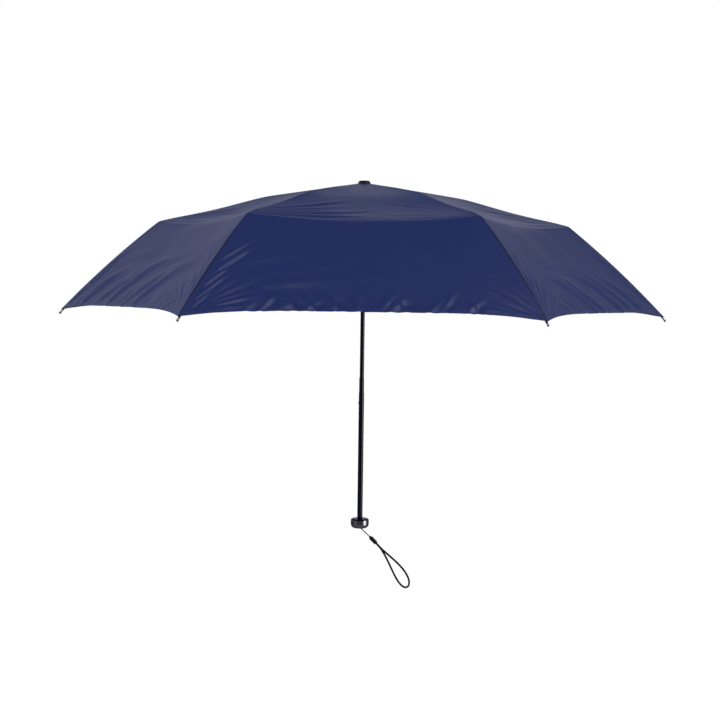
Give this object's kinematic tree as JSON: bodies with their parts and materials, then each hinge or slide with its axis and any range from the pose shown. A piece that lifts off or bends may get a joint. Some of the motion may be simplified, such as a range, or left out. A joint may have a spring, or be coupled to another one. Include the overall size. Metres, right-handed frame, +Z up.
{
  "type": "folding umbrella",
  "caption": "Compact folding umbrella, open: ribbed navy cover on folding ribs, telescopic black steel shaft, short drum handle with a wrist lanyard.",
  "frame": {"origin": "centre of the handle's flat underside", "axes": "+Z up the shaft towards the ferrule; +X along the first rib, which is at the right when the umbrella is seen from the front (looking along +Y)"},
  "size_m": [0.891, 0.772, 0.5939],
  "materials": {
    "canopy_cloth": "navy satin-weave nylon, slightly shiny",
    "tube": "glossy black coated steel tube",
    "rib_steel": "black painted pressed steel",
    "bright_steel": "bright steel wire and balls",
    "handle_metal": "gunmetal, satin, turned",
    "dark_metal": "black nickel, satin",
    "black_plastic": "moulded, fine matt",
    "cord": "braided black cord"
  },
  "bodies": {
    "handle": {"handle_shell": "handle_metal", "handle_core": "black_plastic", "handle_collar": "dark_metal", "shaft_lower": "tube"},
    "lanyard": {"lanyard_string": "cord", "lanyard_bead": "black_plastic", "lanyard_loop": "cord"},
    "lower_lock": {"lock_button_lower": "bright_steel"},
    "middle_tube": {"shaft_middle": "tube"},
    "upper_lock": {"lock_button_upper": "bright_steel"},
    "crown": {"shaft_upper": "tube", "crown": "black_plastic", "crown_wire": "bright_steel", "ferrule_cap": "dark_metal", "canopy": "canopy_cloth", "closure_strap": "canopy_cloth"},
    "runner": {"runner": "black_plastic"},
    "runner_button": {"runner_button": "black_plastic"},
    "rib_inner_1": {"rib_inner_1": "rib_steel"},
    "stretcher_1": {"stretcher_1": "rib_steel"},
    "link_bar_1": {"link_bar_1": "rib_steel"},
    "rib_middle_1": {"rib_middle_1": "rib_steel"},
    "rib_outer_1": {"rib_outer_1": "rib_steel", "rib_tip_1": "bright_steel"},
    "control_wire_1": {"control_wire_1": "bright_steel"},
    "rib_inner_2": {"rib_inner_2": "rib_steel"},
    "stretcher_2": {"stretcher_2": "rib_steel"},
    "link_bar_2": {"link_bar_2": "rib_steel"},
    "rib_middle_2": {"rib_middle_2": "rib_steel"},
    "rib_outer_2": {"rib_outer_2": "rib_steel", "rib_tip_2": "bright_steel"},
    "control_wire_2": {"control_wire_2": "bright_steel"},
    "rib_inner_3": {"rib_inner_3": "rib_steel"},
    "stretcher_3": {"stretcher_3": "rib_steel"},
    "link_bar_3": {"link_bar_3": "rib_steel"},
    "rib_middle_3": {"rib_middle_3": "rib_steel"},
    "rib_outer_3": {"rib_outer_3": "rib_steel", "rib_tip_3": "bright_steel"},
    "control_wire_3": {"control_wire_3": "bright_steel"},
    "rib_inner_4": {"rib_inner_4": "rib_steel"},
    "stretcher_4": {"stretcher_4": "rib_steel"},
    "link_bar_4": {"link_bar_4": "rib_steel"},
    "rib_middle_4": {"rib_middle_4": "rib_steel"},
    "rib_outer_4": {"rib_outer_4": "rib_steel", "rib_tip_4": "bright_steel"},
    "control_wire_4": {"control_wire_4": "bright_steel"},
    "rib_inner_5": {"rib_inner_5": "rib_steel"},
    "stretcher_5": {"stretcher_5": "rib_steel"},
    "link_bar_5": {"link_bar_5": "rib_steel"},
    "rib_middle_5": {"rib_middle_5": "rib_steel"},
    "rib_outer_5": {"rib_outer_5": "rib_steel", "rib_tip_5": "bright_steel"},
    "control_wire_5": {"control_wire_5": "bright_steel"},
    "rib_inner_6": {"rib_inner_6": "rib_steel"},
    "stretcher_6": {"stretcher_6": "rib_steel"},
    "link_bar_6": {"link_bar_6": "rib_steel"},
    "rib_middle_6": {"rib_middle_6": "rib_steel"},
    "rib_outer_6": {"rib_outer_6": "rib_steel", "rib_tip_6": "bright_steel"},
    "control_wire_6": {"control_wire_6": "bright_steel"}
  },
  "joints": [
    {"name": "lanyard_swing", "type": "hinge", "parent": "handle", "child": "lanyard", "pos_m": [0.002, -0.0086, 0.0004], "axis": [0, -1, 0], "range_deg": [-45, 30]},
    {"name": "lower_lock_press", "type": "slide", "parent": "handle", "child": "lower_lock", "axis": [1, 0, 0], "range_m": [0, 0.0006]},
    {"name": "middle_tube_slide", "type": "slide", "parent": "handle", "child": "middle_tube", "axis": [0, 0, 1], "range_m": [-0.1305, 0]},
    {"name": "upper_lock_press", "type": "slide", "parent": "middle_tube", "child": "upper_lock", "axis": [1, 0, 0], "range_m": [0, 0.0005]},
    {"name": "upper_tube_slide", "type": "slide", "parent": "middle_tube", "child": "crown", "axis": [0, 0, 1], "range_m": [-0.1305, 0]},
    {"name": "runner_slide", "type": "slide", "parent": "crown", "child": "runner", "axis": [0, 0, 1], "range_m": [-0.11999, 0], "deforming": ["canopy", "closure_strap"]},
    {"name": "runner_button_press", "type": "slide", "parent": "runner", "child": "runner_button", "axis": [0, 1, 0], "range_m": [0, 0.0011]},
    {"name": "rib_inner_1_fold", "type": "hinge", "parent": "crown", "child": "rib_inner_1", "pos_m": [0.008, 0, 0.5018], "axis": [0, -1, 0], "range_deg": [-80.24, 1]},
    {"name": "stretcher_1_fold", "type": "hinge", "parent": "rib_inner_1", "child": "stretcher_1", "pos_m": [0.09195, 0, 0.48846], "axis": [0, -1, 0], "range_deg": [-1, 138.66]},
    {"name": "link_bar_1_fold", "type": "hinge", "parent": "stretcher_1", "child": "link_bar_1", "pos_m": [0.07657, 0, 0.48403], "axis": [0, -1, 0], "range_deg": [-125.12, 1]},
    {"name": "rib_middle_1_fold", "type": "hinge", "parent": "rib_inner_1", "child": "rib_middle_1", "pos_m": [0.14305, 0, 0.48295], "axis": [0, -1, 0], "range_deg": [-1, 182.39]},
    {"name": "rib_outer_1_fold", "type": "hinge", "parent": "rib_middle_1", "child": "rib_outer_1", "pos_m": [0.29871, 0, 0.44134], "axis": [0, -1, 0], "range_deg": [-150.22, 1]},
    {"name": "control_wire_1_fold", "type": "hinge", "parent": "rib_inner_1", "child": "control_wire_1", "pos_m": [0.13929, 0, 0.48109], "axis": [0, -1, 0], "range_deg": [-1, 178.66]},
    {"name": "rib_inner_2_fold", "type": "hinge", "parent": "crown", "child": "rib_inner_2", "pos_m": [0.004, 0.00693, 0.5018], "axis": [0.866, -0.5, 0], "range_deg": [-80.24, 1]},
    {"name": "stretcher_2_fold", "type": "hinge", "parent": "rib_inner_2", "child": "stretcher_2", "pos_m": [0.04597, 0.07963, 0.48846], "axis": [0.866, -0.5, 0], "range_deg": [-1, 138.66]},
    {"name": "link_bar_2_fold", "type": "hinge", "parent": "stretcher_2", "child": "link_bar_2", "pos_m": [0.03829, 0.06631, 0.48403], "axis": [0.866, -0.5, 0], "range_deg": [-125.12, 1]},
    {"name": "rib_middle_2_fold", "type": "hinge", "parent": "rib_inner_2", "child": "rib_middle_2", "pos_m": [0.07153, 0.12389, 0.48295], "axis": [0.866, -0.5, 0], "range_deg": [-1, 182.39]},
    {"name": "rib_outer_2_fold", "type": "hinge", "parent": "rib_middle_2", "child": "rib_outer_2", "pos_m": [0.14935, 0.25869, 0.44134], "axis": [0.866, -0.5, 0], "range_deg": [-150.22, 1]},
    {"name": "control_wire_2_fold", "type": "hinge", "parent": "rib_inner_2", "child": "control_wire_2", "pos_m": [0.06964, 0.12062, 0.48109], "axis": [0.866, -0.5, 0], "range_deg": [-1, 178.66]},
    {"name": "rib_inner_3_fold", "type": "hinge", "parent": "crown", "child": "rib_inner_3", "pos_m": [-0.004, 0.00693, 0.5018], "axis": [0.866, 0.5, 0], "range_deg": [-80.24, 1]},
    {"name": "stretcher_3_fold", "type": "hinge", "parent": "rib_inner_3", "child": "stretcher_3", "pos_m": [-0.04597, 0.07963, 0.48846], "axis": [0.866, 0.5, 0], "range_deg": [-1, 138.66]},
    {"name": "link_bar_3_fold", "type": "hinge", "parent": "stretcher_3", "child": "link_bar_3", "pos_m": [-0.03829, 0.06631, 0.48403], "axis": [0.866, 0.5, 0], "range_deg": [-125.12, 1]},
    {"name": "rib_middle_3_fold", "type": "hinge", "parent": "rib_inner_3", "child": "rib_middle_3", "pos_m": [-0.07153, 0.12389, 0.48295], "axis": [0.866, 0.5, 0], "range_deg": [-1, 182.39]},
    {"name": "rib_outer_3_fold", "type": "hinge", "parent": "rib_middle_3", "child": "rib_outer_3", "pos_m": [-0.14935, 0.25869, 0.44134], "axis": [0.866, 0.5, 0], "range_deg": [-150.22, 1]},
    {"name": "control_wire_3_fold", "type": "hinge", "parent": "rib_inner_3", "child": "control_wire_3", "pos_m": [-0.06964, 0.12062, 0.48109], "axis": [0.866, 0.5, 0], "range_deg": [-1, 178.66]},
    {"name": "rib_inner_4_fold", "type": "hinge", "parent": "crown", "child": "rib_inner_4", "pos_m": [-0.008, 0, 0.5018], "axis": [0, 1, 0], "range_deg": [-80.24, 1]},
    {"name": "stretcher_4_fold", "type": "hinge", "parent": "rib_inner_4", "child": "stretcher_4", "pos_m": [-0.09195, 0, 0.48846], "axis": [0, 1, 0], "range_deg": [-1, 138.66]},
    {"name": "link_bar_4_fold", "type": "hinge", "parent": "stretcher_4", "child": "link_bar_4", "pos_m": [-0.07657, 0, 0.48403], "axis": [0, 1, 0], "range_deg": [-125.12, 1]},
    {"name": "rib_middle_4_fold", "type": "hinge", "parent": "rib_inner_4", "child": "rib_middle_4", "pos_m": [-0.14305, 0, 0.48295], "axis": [0, 1, 0], "range_deg": [-1, 182.39]},
    {"name": "rib_outer_4_fold", "type": "hinge", "parent": "rib_middle_4", "child": "rib_outer_4", "pos_m": [-0.29871, 0, 0.44134], "axis": [0, 1, 0], "range_deg": [-150.22, 1]},
    {"name": "control_wire_4_fold", "type": "hinge", "parent": "rib_inner_4", "child": "control_wire_4", "pos_m": [-0.13929, 0, 0.48109], "axis": [0, 1, 0], "range_deg": [-1, 178.66]},
    {"name": "rib_inner_5_fold", "type": "hinge", "parent": "crown", "child": "rib_inner_5", "pos_m": [-0.004, -0.00693, 0.5018], "axis": [-0.866, 0.5, 0], "range_deg": [-80.24, 1]},
    {"name": "stretcher_5_fold", "type": "hinge", "parent": "rib_inner_5", "child": "stretcher_5", "pos_m": [-0.04597, -0.07963, 0.48846], "axis": [-0.866, 0.5, 0], "range_deg": [-1, 138.66]},
    {"name": "link_bar_5_fold", "type": "hinge", "parent": "stretcher_5", "child": "link_bar_5", "pos_m": [-0.03829, -0.06631, 0.48403], "axis": [-0.866, 0.5, 0], "range_deg": [-125.12, 1]},
    {"name": "rib_middle_5_fold", "type": "hinge", "parent": "rib_inner_5", "child": "rib_middle_5", "pos_m": [-0.07153, -0.12389, 0.48295], "axis": [-0.866, 0.5, 0], "range_deg": [-1, 182.39]},
    {"name": "rib_outer_5_fold", "type": "hinge", "parent": "rib_middle_5", "child": "rib_outer_5", "pos_m": [-0.14935, -0.25869, 0.44134], "axis": [-0.866, 0.5, 0], "range_deg": [-150.22, 1]},
    {"name": "control_wire_5_fold", "type": "hinge", "parent": "rib_inner_5", "child": "control_wire_5", "pos_m": [-0.06964, -0.12062, 0.48109], "axis": [-0.866, 0.5, 0], "range_deg": [-1, 178.66]},
    {"name": "rib_inner_6_fold", "type": "hinge", "parent": "crown", "child": "rib_inner_6", "pos_m": [0.004, -0.00693, 0.5018], "axis": [-0.866, -0.5, 0], "range_deg": [-80.24, 1]},
    {"name": "stretcher_6_fold", "type": "hinge", "parent": "rib_inner_6", "child": "stretcher_6", "pos_m": [0.04597, -0.07963, 0.48846], "axis": [-0.866, -0.5, 0], "range_deg": [-1, 138.66]},
    {"name": "link_bar_6_fold", "type": "hinge", "parent": "stretcher_6", "child": "link_bar_6", "pos_m": [0.03829, -0.06631, 0.48403], "axis": [-0.866, -0.5, 0], "range_deg": [-125.12, 1]},
    {"name": "rib_middle_6_fold", "type": "hinge", "parent": "rib_inner_6", "child": "rib_middle_6", "pos_m": [0.07153, -0.12389, 0.48295], "axis": [-0.866, -0.5, 0], "range_deg": [-1, 182.39]},
    {"name": "rib_outer_6_fold", "type": "hinge", "parent": "rib_middle_6", "child": "rib_outer_6", "pos_m": [0.14935, -0.25869, 0.44134], "axis": [-0.866, -0.5, 0], "range_deg": [-150.22, 1]},
    {"name": "control_wire_6_fold", "type": "hinge", "parent": "rib_inner_6", "child": "control_wire_6", "pos_m": [0.06964, -0.12062, 0.48109], "axis": [-0.866, -0.5, 0], "range_deg": [-1, 178.66]}
  ],
  "couplings": [
    {"joint": "rib_inner_1_fold", "follows": "runner_slide", "rad_per_m": 11.526},
    {"joint": "stretcher_1_fold", "follows": "runner_slide", "rad_per_m": -20.023},
    {"joint": "link_bar_1_fold", "follows": "runner_slide", "rad_per_m": 18.053},
    {"joint": "rib_middle_1_fold", "follows": "runner_slide", "rad_per_m": -26.384},
    {"joint": "rib_outer_1_fold", "follows": "runner_slide", "rad_per_m": 21.704},
    {"joint": "control_wire_1_fold", "follows": "runner_slide", "rad_per_m": -25.841},
    {"joint": "rib_inner_2_fold", "follows": "runner_slide", "rad_per_m": 11.526},
    {"joint": "stretcher_2_fold", "follows": "runner_slide", "rad_per_m": -20.023},
    {"joint": "link_bar_2_fold", "follows": "runner_slide", "rad_per_m": 18.053},
    {"joint": "rib_middle_2_fold", "follows": "runner_slide", "rad_per_m": -26.384},
    {"joint": "rib_outer_2_fold", "follows": "runner_slide", "rad_per_m": 21.704},
    {"joint": "control_wire_2_fold", "follows": "runner_slide", "rad_per_m": -25.841},
    {"joint": "rib_inner_3_fold", "follows": "runner_slide", "rad_per_m": 11.526},
    {"joint": "stretcher_3_fold", "follows": "runner_slide", "rad_per_m": -20.023},
    {"joint": "link_bar_3_fold", "follows": "runner_slide", "rad_per_m": 18.053},
    {"joint": "rib_middle_3_fold", "follows": "runner_slide", "rad_per_m": -26.384},
    {"joint": "rib_outer_3_fold", "follows": "runner_slide", "rad_per_m": 21.704},
    {"joint": "control_wire_3_fold", "follows": "runner_slide", "rad_per_m": -25.841},
    {"joint": "rib_inner_4_fold", "follows": "runner_slide", "rad_per_m": 11.526},
    {"joint": "stretcher_4_fold", "follows": "runner_slide", "rad_per_m": -20.023},
    {"joint": "link_bar_4_fold", "follows": "runner_slide", "rad_per_m": 18.053},
    {"joint": "rib_middle_4_fold", "follows": "runner_slide", "rad_per_m": -26.384},
    {"joint": "rib_outer_4_fold", "follows": "runner_slide", "rad_per_m": 21.704},
    {"joint": "control_wire_4_fold", "follows": "runner_slide", "rad_per_m": -25.841},
    {"joint": "rib_inner_5_fold", "follows": "runner_slide", "rad_per_m": 11.526},
    {"joint": "stretcher_5_fold", "follows": "runner_slide", "rad_per_m": -20.023},
    {"joint": "link_bar_5_fold", "follows": "runner_slide", "rad_per_m": 18.053},
    {"joint": "rib_middle_5_fold", "follows": "runner_slide", "rad_per_m": -26.384},
    {"joint": "rib_outer_5_fold", "follows": "runner_slide", "rad_per_m": 21.704},
    {"joint": "control_wire_5_fold", "follows": "runner_slide", "rad_per_m": -25.841},
    {"joint": "rib_inner_6_fold", "follows": "runner_slide", "rad_per_m": 11.526},
    {"joint": "stretcher_6_fold", "follows": "runner_slide", "rad_per_m": -20.023},
    {"joint": "link_bar_6_fold", "follows": "runner_slide", "rad_per_m": 18.053},
    {"joint": "rib_middle_6_fold", "follows": "runner_slide", "rad_per_m": -26.384},
    {"joint": "rib_outer_6_fold", "follows": "runner_slide", "rad_per_m": 21.704},
    {"joint": "control_wire_6_fold", "follows": "runner_slide", "rad_per_m": -25.841}
  ]
}
